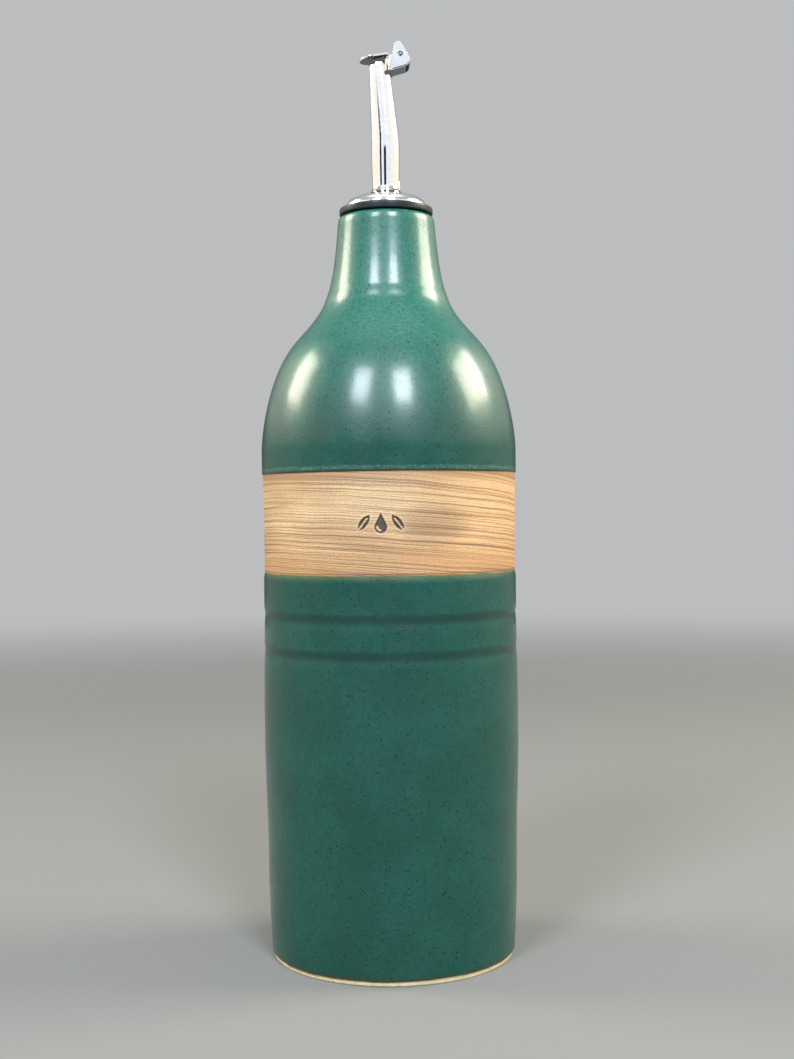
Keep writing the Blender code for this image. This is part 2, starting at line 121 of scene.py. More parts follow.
FIN_CENTRE = Vector((0.00445, 0.2915))
FIN_RADIUS = 0.0013
HEEL_CENTRE = Vector((0.0057, 0.2873))
HEEL_RADIUS = 0.00225
EAR_FRONT = 0.00155
EAR_FRONT_TOP = 0.2885
EAR_NOTCH = Vector((0.00255, 0.2886))
FLOOR_SLOPE = math.radians(15)
PAN_PROUD = 0.0003
PAN_END_ANGLE = math.radians(15)
SADDLE_BOTTOM = 0.2836
SADDLE_TOP = 0.2874
SADDLE_FRONT = 0.0002
SADDLE_FRONT_HALF_WIDTH = 0.0035
SADDLE_BEND = 0.0016
SADDLE_BACK = 0.0026
LID_TILT = math.radians(8.5)
LID_THICKNESS = 0.0006
LID_HALF_WIDTH = 0.0044
LID_TIP_REACH = 0.0131
LID_BACK_REACH = 0.0038
LID_ABOVE_PIN = 0.0008
STEM_HALF_WIDTH = 0.0032
BARREL_RADIUS = 0.0015

FLANGE_BOTTOM = LIP_TOP + GAP
COLLAR_BOTTOM = FLANGE_BOTTOM + FLANGE_THICKNESS + GAP
SPOUT_BOTTOM = COLLAR_BOTTOM + COLLAR_HEIGHT + BOSS_HEIGHT + GAP
PIN_CENTRE = Vector((PIN_X, 0.0, PIN_HEIGHT))
QUARTER = math.radians(90)

# Detail that only this script has
TURNED_COLUMNS = 288
FITTING_COLUMNS = 128
RING_SPACING = 0.0012
GLAZE_LIP_ROUND = 0.0018
GLAZE_TAPER = 0.0030
GLAZE_TUCK = 0.0006
GLAZE_THINNING = 1.3 * GLAZE_STEP
CLAY_TUCK = 0.0008
GROOVE_DEPTH = 0.00024
GROOVE_ABOVE = 0.0016
GROOVE_BELOW = 0.0048
GROOVE_WANDER = 0.00035
GROOVE_UNEVENNESS = 0.35
GROOVED_END = 0.0900
BELLY_SOFT = 0.0045
NECK_RING_HEIGHT = 0.2112
NECK_RING_HALF_WIDTH = 0.0026
NECK_RING_RISE = 0.00012
GLAZE_EDGE_ROUND = 0.00032
GLAZE_EDGE_WOBBLE = 0.00022
GLAZE_EDGE_REACH = 0.0030
THROWING_RIPPLE = 0.00005
CLAY_RIPPLE = 0.00005
STAMP_GRID = 0.00011
STAMP_MARGIN = 0.0018
STAMP_HALF_LENGTH = 0.0120
STAMP_HALF_HEIGHT = 0.0065
STAMP_WALL = 0.00042
STAMP_WALL_START = 0.00004
STAMP_RIM_WIDTH = 0.00055
STAMP_RIM_HEIGHT = 0.00006
GLINT_HALF_WIDTH = 0.00026
MIDRIB_HALF_WIDTH = 0.00019
FLANGE_ROUND = 0.00045
COLLAR_ROUND = 0.00018
BOSS_FILLET = 0.0004
MOUTH_ROUND = 0.00022
VENT_ROUND = 0.0002
VENT_MOUTH_DEPTH = 0.0015
VENT_LIFT = 0.0004
PIN_DOME = 0.00016
PIN_COLUMNS = 40
ROOM_BOTTOM = BEND_END + 0.005
EDGE_ROUND = 0.00012
WELD_DISTANCE = 0.000004
BRUSH_SLOPE = 0.075
BRUSH_BEND = 0.045
SMUDGE_X = 0.0140
SMUDGE_HALF_WIDTH = 0.0125
SMUDGE_HEIGHT = 0.1385
SMUDGE_HALF_HEIGHT = 0.0062

# Pale floor, and the plain backdrop that the camera sees behind the bottle, as colours in linear light
FLOOR_COLOUR = (0.160, 0.158, 0.155)
FLOOR_NEAR = 0.50
FLOOR_FAR = 1.60
FLOOR_RADIUS = 1.70
FLOOR_THICKNESS = 0.02
BACKDROP = (0.50, 0.51, 0.52)

# Dark uprights that the steel mirrors, each with its azimuth, half its width and its top, in degrees
DARK_BARS = ((-40, 6, 18.0), (-4, 8, 15.6))
DARK_BAR = (0.01, 0.01, 0.02)


def bezier(start, start_pull, end_pull, end, steps):
    """Points of a cubic Bezier curve, without its first point."""
    points = []
    for step in range(1, steps + 1):
        t = step / steps
        s = 1.0 - t
        points.append(s**3 * start + 3 * s * s * t * start_pull + 3 * s * t * t * end_pull + t**3 * end)
    return points


def arc(centre, radius, start, end, steps):
    """Points of a circular arc from one angle to another, with both ends."""
    angles = [start + (end - start) * step / steps for step in range(steps + 1)]
    return [centre + radius * Vector((math.cos(angle), math.sin(angle))) for angle in angles]


def ease(value, low, high):
    """0 below low, 1 above high, and a smooth rise between them."""
    t = min(max((value - low) / (high - low), 0.0), 1.0)
    return t * t * (3.0 - 2.0 * t)


def blend(low_value, high_value, share):
    return low_value + (high_value - low_value) * share


def spaced(start, end, spacing):
    """Values from start to end, about this far apart, without the first."""
    steps = max(1, round(abs(end - start) / spacing))
    return [start + (end - start) * step / steps for step in range(1, steps + 1)]


def flat_end(radius, height):
    """The profile of a turned piece's flat end, from the axis outwards."""
    return [Vector((0.0, height)), Vector((radius, height))]


def new_object(name, data):
    obj = bpy.data.objects.new(name, data)
    bpy.context.scene.collection.objects.link(obj)
    return obj


def mesh_piece(name, vertices, faces, material):
    mesh = bpy.data.meshes.new(name)
    mesh.from_pydata(vertices, [], faces)
    mesh.validate()
    mesh.shade_smooth()
    mesh.materials.append(material)
    return new_object(name, mesh)


def turned(name, profile, columns, material, shift=None):
    """A closed solid turned about Z.

    The profile's (radius, height) points run down its outer side and start and end on the axis. Columns is a
    number of them or a list of angles, with 0 at the front. Shift takes an angle, a radius and a height and
    gives the two moved.
    """
    if isinstance(columns, int):
        columns = [math.tau * column / columns for column in range(columns)]
    count = len(columns)
    vertices = [(0.0, 0.0, profile[0][1])]
    for radius, height in profile[1:-1]:
        for angle in columns:
            r, z = shift(angle, radius, height) if shift else (radius, height)
            vertices.append((r * math.sin(angle), -r * math.cos(angle), z))
    vertices.append((0.0, 0.0, profile[-1][1]))
    faces = []
    last = len(vertices) - 1
    rings = len(profile) - 2
    for column in range(count):
        after = (column + 1) % count
        faces.append((0, 1 + column, 1 + after))
        for ring in range(rings - 1):
            top = 1 + ring * count
            low = top + count
            faces.append((top + column, low + column, low + after, top + after))
        bottom = 1 + (rings - 1) * count
        faces.append((last, bottom + after, bottom + column))
    return mesh_piece(name, vertices, faces, material)


# Outline of the bottle


def neck_and_shoulder():
    """The outline from the side of the lip to the top of the body."""
    neck = Vector((LIP_RADIUS, LIP_TOP - LIP_ROUND))
    shoulder = Vector((SHOULDER_RADIUS, SHOULDER_HEIGHT))
    slope = Vector((math.sin(SHOULDER_ANGLE), -math.cos(SHOULDER_ANGLE)))
    body = Vector((BODY_RADIUS, BODY_TOP))
    neck_pull = neck + NECK_PULL * Vector((NECK_LEAN, -1.0))
    points = bezier(neck, neck_pull, shoulder - SHOULDER_PULL_UP * slope, shoulder, 90)
    shoulder_pull = shoulder + SHOULDER_PULL_DOWN * slope
    points += bezier(shoulder, shoulder_pull, body + Vector((0.0, BODY_TOP_PULL)), body, 36)
    return points


def body_radius(height):
    """The body's radius at a height under BODY_TOP, with its waist and belly but without its grooves."""
    waist = blend(WAIST_RADIUS, BODY_RADIUS, ease(height, BAND_BOTTOM, BODY_TOP))
    belly = blend(BODY_RADIUS, waist, ease(height, BELLY_HEIGHT, GROOVE_HEIGHTS[0]))
    radius = blend(LOWER_BODY_RADIUS, belly, ease(height, LOWER_BODY_HEIGHT, BELLY_END))
    to_foot = max(1.0 - height / LOWER_BODY_HEIGHT, 0.0)
    return radius - (LOWER_BODY_RADIUS - FOOT_RADIUS) * to_foot**2


def groove_depth(height):
    depth = 0.0
    for groove in GROOVE_HEIGHTS:
        away = height - groove
        reach = GROOVE_ABOVE if away > 0.0 else GROOVE_BELOW
        depth += GROOVE_DEPTH * (1.0 - ease(abs(away), 0.0, reach))
    return depth


def around(angle, height, scale, seed):
    """Smooth noise from -1 to 1 on the bottle's surface, without a seam."""
    place = Vector((math.sin(angle), math.cos(angle), 0.0)) * BODY_RADIUS
    place.z = height
    return noise.noise(place * scale + Vector((seed, seed * 0.37, seed * 0.73)))


def edge_wobble(angle, seed):
    """How far a glaze edge wanders up or down at this angle."""
    slow = around(angle, 0.0, 45.0, seed)
    fine = around(angle, 0.0, 260.0, seed + 11.0)
    return GLAZE_EDGE_WOBBLE * (slow + 0.45 * fine)


def glaze_shift(edges):
    """A shift that lets a piece's edges, given as (height, seed), wander and its side ripple a little."""

    def shift(angle, radius, height):
        z = height
        for edge, seed in edges:
            near = 1.0 - ease(abs(height - edge), 0.0, GLAZE_EDGE_REACH)
            z += near * edge_wobble(angle, seed)
        if radius < LIP_RADIUS:
            return radius, z
        turned_rings = around(0.0, height, 170.0, 3.0)
        patches = around(angle, height * 4.0, 30.0, 7.0)
        ripple = 0.6 * turned_rings + 0.4 * patches
        calm = ease(abs(height - LIP_TOP), 0.001, 0.008)
        ring = 1.0 - ease(abs(height - NECK_RING_HEIGHT), 0.0, NECK_RING_HALF_WIDTH)
        return radius + THROWING_RIPPLE * ripple * calm + NECK_RING_RISE * ring, z

    return shift


def make_upper_glaze(material):
    """The glazed top of the bottle, from the lip down to a rounded edge over the clay band."""
    lip_centre = Vector((LIP_RADIUS - GLAZE_LIP_ROUND, LIP_TOP - GLAZE_LIP_ROUND))
    profile = flat_end(LIP_RADIUS * 0.6, LIP_TOP)
    profile += arc(lip_centre, GLAZE_LIP_ROUND, QUARTER, 0.0, 10)
    neck_start = lip_centre.y - 0.0002
    profile += [point for point in neck_and_shoulder() if point.y < neck_start]
    edge = BAND_TOP + GLAZE_EDGE_ROUND
    profile += [Vector((body_radius(z), z)) for z in spaced(BODY_TOP, edge, RING_SPACING / 2)]
    round_centre = Vector((body_radius(edge) - GLAZE_EDGE_ROUND, edge))
    profile += arc(round_centre, GLAZE_EDGE_ROUND, 0.0, -QUARTER, 6)[1:]
    profile += flat_end(BODY_RADIUS * 0.9, BAND_TOP)[::-1]
    return turned("glaze_upper", profile, TURNED_COLUMNS, material, glaze_shift([(BAND_TOP, 21.0)]))


def make_lower_glaze(material):
    """The glazed lower body, with two soft grooves. Its top thins out and is tucked under the band's skin."""
    tucked = BAND_BOTTOM + GLAZE_TUCK
    taper_end = BAND_BOTTOM - GLAZE_TAPER
    low = GLAZE_END + GLAZE_EDGE_ROUND
    lower_centre = Vector((body_radius(low) - GLAZE_EDGE_ROUND, low))
    profile = flat_end(BODY_RADIUS * 0.9, tucked)
    for z in [tucked, *spaced(tucked, taper_end, GLAZE_TAPER / 10)]:
        thin = GLAZE_THINNING * ease(z, taper_end, tucked)
        profile.append(Vector((body_radius(z) - thin, z)))
    profile += [Vector((body_radius(z), z)) for z in spaced(taper_end, GROOVED_END, RING_SPACING / 2.5)]
    profile += [Vector((body_radius(z), z)) for z in spaced(GROOVED_END, low, RING_SPACING)]
    profile += arc(lower_centre, GLAZE_EDGE_ROUND, 0.0, -QUARTER, 6)[1:]
    profile += flat_end(BODY_RADIUS * 0.9, GLAZE_END)[::-1]
    edges = glaze_shift([(BAND_BOTTOM, 33.0), (GLAZE_END, 47.0)])

    def shift(angle, radius, height):
        wander = GROOVE_WANDER * around(angle, 0.0, 32.0, 61.0)
        uneven = GROOVE_UNEVENNESS * around(angle, height, 50.0, 67.0)
        return edges(angle, radius - groove_depth(height + wander) * (1.0 + uneven), height)

    return turned("glaze_lower", profile, TURNED_COLUMNS, material, shift)


def make_clay_foot(material):
    """The bare rim under the glaze, and the flat base."""
    inside = GLAZE_END + CLAY_TUCK
    profile = flat_end(CLAY_FOOT_RADIUS * 0.9, inside)
    profile += [Vector((CLAY_FOOT_RADIUS, z)) for z in [inside, *spaced(inside, FOOT_BEVEL, 0.0003)]]
    bevel_centre = Vector((CLAY_FOOT_RADIUS - FOOT_BEVEL, FOOT_BEVEL))
    profile += arc(bevel_centre, FOOT_BEVEL, 0.0, -QUARTER, 5)[1:]
    profile += flat_end(CLAY_FOOT_RADIUS * 0.5, 0.0)[::-1]

    def shift(angle, radius, height):
        if radius < CLAY_FOOT_RADIUS * 0.95:
            return radius, height
        return radius + CLAY_RIPPLE * around(angle, height, 300.0, 71.0), height

    return turned("clay_foot", profile, TURNED_COLUMNS, material, shift)


# Stamped motif on the clay band


def drop_outline():
    """A drop with its point up, centred on the origin."""
    radius = DROP_WIDTH / 2
    centre = Vector((0.0, radius - DROP_HEIGHT / 2))
    tip = Vector((0.0, DROP_HEIGHT / 2))
    from_tip = math.acos(radius / (tip.y - centre.y))
    start = QUARTER - from_tip
    return [tip, *arc(centre, radius, start, from_tip + QUARTER - math.radians(360), 28)]


def leaf_outline(tilt):
    """A leaf with two pointed ends, made of two arcs, turned from level by the tilt."""
    half = LEAF_LENGTH / 2
    bulge = LEAF_WIDTH / 2
    radius = (half * half + bulge * bulge) / (2 * bulge)
    spread = math.asin(half / radius)
    upper = arc(Vector((0.0, bulge - radius)), radius, QUARTER + spread, QUARTER - spread, 16)
    lower = arc(Vector((0.0, radius - bulge)), radius, spread - QUARTER, -spread - QUARTER, 16)
    turn = Matrix.Rotation(tilt, 2)
    return [turn @ point for point in upper[:-1] + lower[:-1]]


def line_distance(x, y, start, end):
    """Distances of the points (x, y) from a straight line between two points."""
    along = end - start
    share = ((x - start.x) * along.x + (y - start.y) * along.y) / along.length_squared
    share = np.clip(share, 0.0, 1.0)
    return np.hypot(x - start.x - share * along.x, y - start.y - share * along.y)


def outline_distance(x, y, outline):
    """Signed distances of the points (x, y) from a closed outline, negative inside."""
    nearest = np.full(x.shape, np.inf)
    inside = np.zeros(x.shape, bool)
    for start, end in zip(outline, outline[1:] + outline[:1]):
        nearest = np.minimum(nearest, line_distance(x, y, start, end))
        if start.y != end.y:
            crosses = (start.y > y) != (end.y > y)
            at = start.x + (y - start.y) * (end.x - start.x) / (end.y - start.y)
            inside ^= crosses & (x < at)
    return np.where(inside, -nearest, nearest)


def smooth(values, low, high):
    """As ease, for an array of values."""
    t = np.clip((values - low) / (high - low), 0.0, 1.0)
    return t * t * (3.0 - 2.0 * t)


def stamp_distance(x, y):
    """Signed distances from the whole motif. Each leaf has a raised midrib and the drop a raised glint."""
    drop = outline_distance(x, y, drop_outline())
    drop_centre = Vector((0.0, DROP_WIDTH / 2 - DROP_HEIGHT / 2))
    glint = arc(drop_centre, DROP_WIDTH * 0.27, math.radians(185), math.radians(262), 8)
    for start, end in zip(glint, glint[1:]):
        drop = np.maximum(drop, GLINT_HALF_WIDTH - line_distance(x, y, start, end))
    whole = drop
    for side in (-1, 1):
        tilt = -side * LEAF_TILT
        leaf_x = x - side * LEAF_OFFSET
        leaf = outline_distance(leaf_x, y, leaf_outline(tilt))
        along = Vector((math.cos(tilt), math.sin(tilt))) * LEAF_LENGTH
        if along.y < 0.0:
            along = -along
        midrib = line_distance(leaf_x, y, along * -0.5, along * 0.24)
        whole = np.minimum(whole, np.maximum(leaf, MIDRIB_HALF_WIDTH - midrib))
    return whole


def band_angles():
    """Column angles round the band: fine across the stamp, and even round the rest."""
    radius = body_radius(STAMP_HEIGHT)
    middle = STAMP_X / radius
    reach = (LEAF_OFFSET + LEAF_LENGTH / 2 + STAMP_MARGIN) / radius
    fine = round(2 * reach * radius / STAMP_GRID)
    angles = [middle - reach + 2 * reach * step / fine for step in range(fine)]
    rest = math.tau - 2 * reach
    coarse = round(rest / (math.tau / TURNED_COLUMNS))
    return angles + [middle + reach + rest * step / coarse for step in range(coarse)]


def make_clay_band(material):
    """The bare band with the motif pressed in. Two attributes keep its depth and its rim for the colour."""
    above = STAMP_HEIGHT + DROP_HEIGHT / 2 + STAMP_MARGIN
    below = STAMP_HEIGHT - DROP_HEIGHT / 2 - STAMP_MARGIN
    heights = [BAND_TOP + CLAY_TUCK, *spaced(BAND_TOP + CLAY_TUCK, above, RING_SPACING / 2)]
    heights += spaced(above, below, STAMP_GRID)
    heights += spaced(below, BAND_BOTTOM - CLAY_TUCK, RING_SPACING / 2)
    profile = flat_end(BODY_RADIUS * 0.9, heights[0])
    profile += [Vector((body_radius(z) - GLAZE_STEP, z)) for z in heights]
    profile += flat_end(BODY_RADIUS * 0.9, heights[-1])[::-1]
    band = turned("clay_band", profile, band_angles(), material)

    mesh = band.data
    count = len(mesh.vertices)
    places = np.empty(count * 3)
    mesh.vertices.foreach_get("co", places)
    places = places.reshape(-1, 3)
    radii = np.hypot(places[:, 0], places[:, 1])
    side = radii > BODY_RADIUS * 0.95
    angles = np.arctan2(places[:, 0], -places[:, 1])
    across = angles * body_radius(STAMP_HEIGHT) - STAMP_X
    upward = places[:, 2] - STAMP_HEIGHT
    near = side & (np.abs(across) < STAMP_HALF_LENGTH) & (np.abs(upward) < STAMP_HALF_HEIGHT)
    distance = np.full(count, np.inf)
    distance[near] = stamp_distance(across[near], upward[near])
    pressed = 1.0 - smooth(distance, -STAMP_WALL, STAMP_WALL_START)
    rim = np.exp(-(((distance - STAMP_RIM_WIDTH * 0.5) / (STAMP_RIM_WIDTH * 0.45)) ** 2))
    moved = STAMP_RIM_HEIGHT * rim - STAMP_DEPTH * pressed
    scale = np.where(side, (radii + moved) / np.maximum(radii, 0.001), 1.0)
    places[:, 0] *= scale
    places[:, 1] *= scale
    mesh.vertices.foreach_set("co", places.ravel())
    for name, values in (("pressed", pressed), ("rim", rim)):
        attribute = mesh.attributes.new(name, "FLOAT", "POINT")
        attribute.data.foreach_set("value", np.where(side, values, 0.0).astype(np.float32))
    mesh.update()
    return band


# Stopper and collar


def make_stopper(material):
    """The stopper's flange, with soft edges."""
    top = FLANGE_BOTTOM + FLANGE_THICKNESS
    soft = FLANGE_ROUND
    edge = FLANGE_RADIUS - soft
    profile = [*flat_end(COLLAR_RADIUS * 0.6, top), Vector((COLLAR_RADIUS + 0.0004, top))]
    profile += arc(Vector((edge, top - soft)), soft, QUARTER, 0.0, 6)
    profile += [Vector((FLANGE_RADIUS, blend(top, FLANGE_BOTTOM, share))) for share in (0.4, 0.5, 0.6)]
    profile += arc(Vector((edge, FLANGE_BOTTOM + soft)), soft, 0.0, -QUARTER, 6)
    profile += flat_end(LIP_RADIUS * 0.6, FLANGE_BOTTOM)[::-1]
    return turned("stopper_flange", profile, FITTING_COLUMNS, material)


def make_collar(material):
    """The pressed steel dome, with a rolled lower edge and a boss under the spout."""
    crown = COLLAR_BOTTOM + COLLAR_HEIGHT
    boss_top = crown + BOSS_HEIGHT
    soft = COLLAR_ROUND
    profile = flat_end(BOSS_RADIUS * 0.6, boss_top)
    profile += arc(Vector((BOSS_RADIUS - soft, boss_top - soft)), soft, QUARTER, 0.0, 4)
    for out, up in ((0.0, 1.0), (0.25, 0.3), (1.0, 0.0)):
        profile.append(Vector((BOSS_RADIUS + BOSS_FILLET * out, crown + BOSS_FILLET * up)))
    reach = COLLAR_RADIUS - COLLAR_CROWN_RADIUS
    for point in arc(Vector((0.0, 0.0)), 1.0, QUARTER, 0.0, 24):
        radius = COLLAR_CROWN_RADIUS + reach * point.x
        profile.append(Vector((radius, COLLAR_BOTTOM + soft + (COLLAR_HEIGHT - soft) * point.y)))
    profile += arc(Vector((COLLAR_RADIUS - soft, COLLAR_BOTTOM + soft)), soft, 0.0, -QUARTER, 4)[1:]
    profile += flat_end(COLLAR_RADIUS * 0.6, COLLAR_BOTTOM)[::-1]
    return turned("collar_dome", profile, FITTING_COLUMNS, material)


# Spout


def spout_centre(height):
    """The spout's centre line: upright, then leaning to the left after a short bend."""
    bend = BEND_END - BEND_START
    above = height - BEND_START
    if above <= 0.0:
        lean = 0.0
    elif above < bend:
        lean = above * above / (2 * bend)
    else:
        lean = above - bend / 2
    return Vector((-math.tan(SPOUT_LEAN) * lean, 0.0, height))


def spout_radius(height):
    """The spout's radius, from its flared foot over a slight belly to the narrow mouth."""
    share = ease(min(height, SPOUT_BELLY_HEIGHT), SPOUT_BOTTOM, SPOUT_BELLY_HEIGHT)
    radius = blend(SPOUT_BASE_RADIUS, SPOUT_BELLY_RADIUS, share)
    run = max(height - SPOUT_BELLY_HEIGHT, 0.0)
    if abs(height - SPOUT_BELLY_HEIGHT) < BELLY_SOFT:
        run = (height - SPOUT_BELLY_HEIGHT + BELLY_SOFT) ** 2 / (4 * BELLY_SOFT)
    radius -= run * (SPOUT_BELLY_RADIUS - SPOUT_TIP_RADIUS) / (SPOUT_TIP_HEIGHT - SPOUT_BELLY_HEIGHT)
    to_foot = max(1.0 - (height - SPOUT_BOTTOM) / FLARE_HEIGHT, 0.0)
    return radius + (FLARE_RADIUS - SPOUT_BASE_RADIUS) * to_foot**2


def lean_at(height):
    return SPOUT_LEAN * ease(height, BEND_START, BEND_END)


def ring(centre, radius, tilt, columns):
    """Points of a circle whose axis leans from upright towards -X by the tilt."""
    turn = Matrix.Rotation(-tilt, 3, "Y")
    points = []
    for column in range(columns):
        angle = math.tau * column / columns
        points.append(centre + turn @ Vector((radius * math.sin(angle), -radius * math.cos(angle), 0.0)))
    return points


def skin(name, rings, material):
    """A closed solid over a list of rings, with its two ends filled."""
    count = len(rings[0])
    vertices = [point for points in rings for point in points]
    faces = [tuple(range(count))]
    for index in range(len(rings) - 1):
        low = index * count
        high = low + count
        for column in range(count):
            after = (column + 1) % count
            faces.append((low + column, high + column, high + after, low + after))
    last = (len(rings) - 1) * count
    faces.append(tuple(last + column for column in reversed(range(count))))
    return mesh_piece(name, vertices, faces, material)


def make_spout(material):
    """The bent spout with an open, rounded mouth."""
    columns = FITTING_COLUMNS // 2
    heights = [SPOUT_BOTTOM, *spaced(SPOUT_BOTTOM, SPOUT_BOTTOM + FLARE_HEIGHT, 0.0002)]
    heights += spaced(heights[-1], BEND_START, 0.0008)
    heights += spaced(BEND_START, BEND_END, 0.0004)
    heights += spaced(BEND_END, SPOUT_TIP_HEIGHT - MOUTH_ROUND, 0.0010)
    rings = []
    for height in heights:
        rings.append(ring(spout_centre(height), spout_radius(height), lean_at(height), columns))
    tip = spout_centre(SPOUT_TIP_HEIGHT)
    axis = Vector((-math.sin(SPOUT_LEAN), 0.0, math.cos(SPOUT_LEAN)))
    rounded = [(SPOUT_TIP_RADIUS, -MOUTH_ROUND, turn) for turn in (45, 90)]
    rounded += [(MOUTH_RADIUS, MOUTH_ROUND, turn) for turn in (90, 45, 0)]
    for side, inwards, turn in rounded:
        radius = side + inwards * (1.0 - math.cos(math.radians(turn)))
        drop = MOUTH_ROUND * (1.0 - math.sin(math.radians(turn)))
        rings.append(ring(tip - axis * drop, radius, SPOUT_LEAN, columns))
    for depth in spaced(MOUTH_ROUND, MOUTH_DEPTH, 0.001):
        rings.append(ring(tip - axis * depth, MOUTH_RADIUS, SPOUT_LEAN, columns))
    return skin("spout_tube", rings, material)


def make_vent(material):
    """The short air tube beside the spout's foot, with an open end."""
    soft = VENT_ROUND
    bore = VENT_RADIUS * 0.55
    bottom = SPOUT_BOTTOM + VENT_LIFT
    profile = flat_end(bore, VENT_TOP - VENT_MOUTH_DEPTH)
    profile += [Vector((bore, VENT_TOP - soft)), Vector((bore + soft * 0.4, VENT_TOP))]
    profile += arc(Vector((VENT_RADIUS - soft, VENT_TOP - soft)), soft, QUARTER, 0.0, 4)
    profile += [Vector((VENT_RADIUS, z)) for z in spaced(VENT_TOP - soft, bottom, 0.0006)]
    profile += [Vector((0.0, bottom))]
    vent = turned("vent_tube", profile, PIN_COLUMNS, material)
    vent.data.transform(Matrix.Translation((VENT_X, 0.0, 0.0)))
    return vent


# Hinge bracket, pin and flap, cut and folded from sheet


def sheet(name, outline, half_thickness, matrix):
    """A flat sheet of this outline, drawn in its own XY plane and placed by a matrix."""
    edit = bmesh.new()
    low = [edit.verts.new((x, y, -half_thickness)) for x, y in outline]
    high = [edit.verts.new((x, y, half_thickness)) for x, y in outline]
    edit.faces.new(reversed(low))
    edit.faces.new(high)
    for index in range(len(outline)):
        after = (index + 1) % len(outline)
        edit.faces.new((low[index], low[after], high[after], high[index]))
    bmesh.ops.recalc_face_normals(edit, faces=edit.faces)
    mesh = bpy.data.meshes.new(name)
    edit.to_mesh(mesh)
    edit.free()
    mesh.transform(matrix)
    return new_object(name, mesh)


def upright(centre):
    """The place of a sheet whose outline is drawn in X and Z, about this centre."""
    return Matrix.Translation(centre) @ Matrix.Rotation(QUARTER, 4, "X")


def bar_across(name, centre, radius, half_length, sides):
    """A round bar along Y."""
    outline = arc(Vector((0.0, 0.0)), radius, 0.0, math.tau, sides)[:-1]
    return sheet(name, outline, half_length, upright(centre))


def joined(obj, others, operation):
    """The object with the others added or cut away, which are then deleted."""
    for other in others:
        modifier = obj.modifiers.new(other.name, "BOOLEAN")
        modifier.operation = operation
        modifier.solver = "EXACT"
        modifier.object = other
        settle(obj)
        bpy.data.objects.remove(other, do_unlink=True)
    return obj


def settle(obj):
    """Makes the result of an object's modifiers its own mesh."""
    graph = bpy.context.evaluated_depsgraph_get()
    mesh = bpy.data.meshes.new_from_object(obj.evaluated_get(graph))
    obj.modifiers.clear()
    obj.data = mesh


def soften(obj, width, material):
    """Rounds the sharp edges of a cut sheet and gives it its material."""
    edit = bmesh.new()
    edit.from_mesh(obj.data)
    bmesh.ops.remove_doubles(edit, verts=edit.verts, dist=WELD_DISTANCE)
    bmesh.ops.dissolve_limit(edit, angle_limit=math.radians(1), verts=edit.verts, edges=edit.edges)
    edit.to_mesh(obj.data)
    edit.free()
    obj.data.shade_smooth()
    bevel = obj.modifiers.new("Rounded edges", "BEVEL")
    bevel.width = width
    bevel.segments = 3
    bevel.limit_method = "ANGLE"
    bevel.angle_limit = math.radians(40)
    flat_faces = obj.modifiers.new("Flat faces stay flat", "WEIGHTED_NORMAL")
    flat_faces.mode = "FACE_AREA"
    flat_faces.weight = 50
    settle(obj)
    obj.data.materials.clear()
    obj.data.materials.append(material)
    return obj


def ear_outline():
    """One ear of the bracket, in X and Z: a low front corner, the fin, the heel and a sloping floor."""
    between = HEEL_CENTRE - FIN_CENTRE
    apart = math.acos((FIN_RADIUS - HEEL_RADIUS) / between.length)
    side = math.atan2(between.y, between.x) + apart
    floor = FLOOR_SLOPE - QUARTER
    heel = arc(HEEL_CENTRE, HEEL_RADIUS, side, floor, 28)
    floor_run = heel[-1].x - EAR_FRONT
    corner = Vector((EAR_FRONT, heel[-1].y - floor_run * math.tan(FLOOR_SLOPE)))
    fin = arc(FIN_CENTRE, FIN_RADIUS, math.radians(175), side, 24)
    return [corner, Vector((EAR_FRONT, EAR_FRONT_TOP)), EAR_NOTCH, *fin, *heel]


def pan_outline():
    """The sheet that closes the bracket from below and behind, seen from the side."""
    floor = FLOOR_SLOPE - QUARTER
    outer_radius = HEEL_RADIUS + PAN_PROUD
    outer = arc(HEEL_CENTRE, outer_radius, PAN_END_ANGLE, floor, 24)
    inner = arc(HEEL_CENTRE, outer_radius - SHEET, PAN_END_ANGLE, floor, 24)
    for side in (outer, inner):
        run = side[-1].x - EAR_FRONT
        side.append(Vector((EAR_FRONT, side[-1].y - run * math.tan(FLOOR_SLOPE))))
    return outer + inner[::-1]


def saddle_outline():
    """The front of the bracket seen from above, bent in towards the spout."""
    near_side = [
        (SADDLE_FRONT, -SADDLE_FRONT_HALF_WIDTH),
        (SADDLE_BEND, -BRACKET_HALF_WIDTH),
        (SADDLE_BACK, -BRACKET_HALF_WIDTH),
    ]
    return near_side + [(x, -y) for x, y in reversed(near_side)]


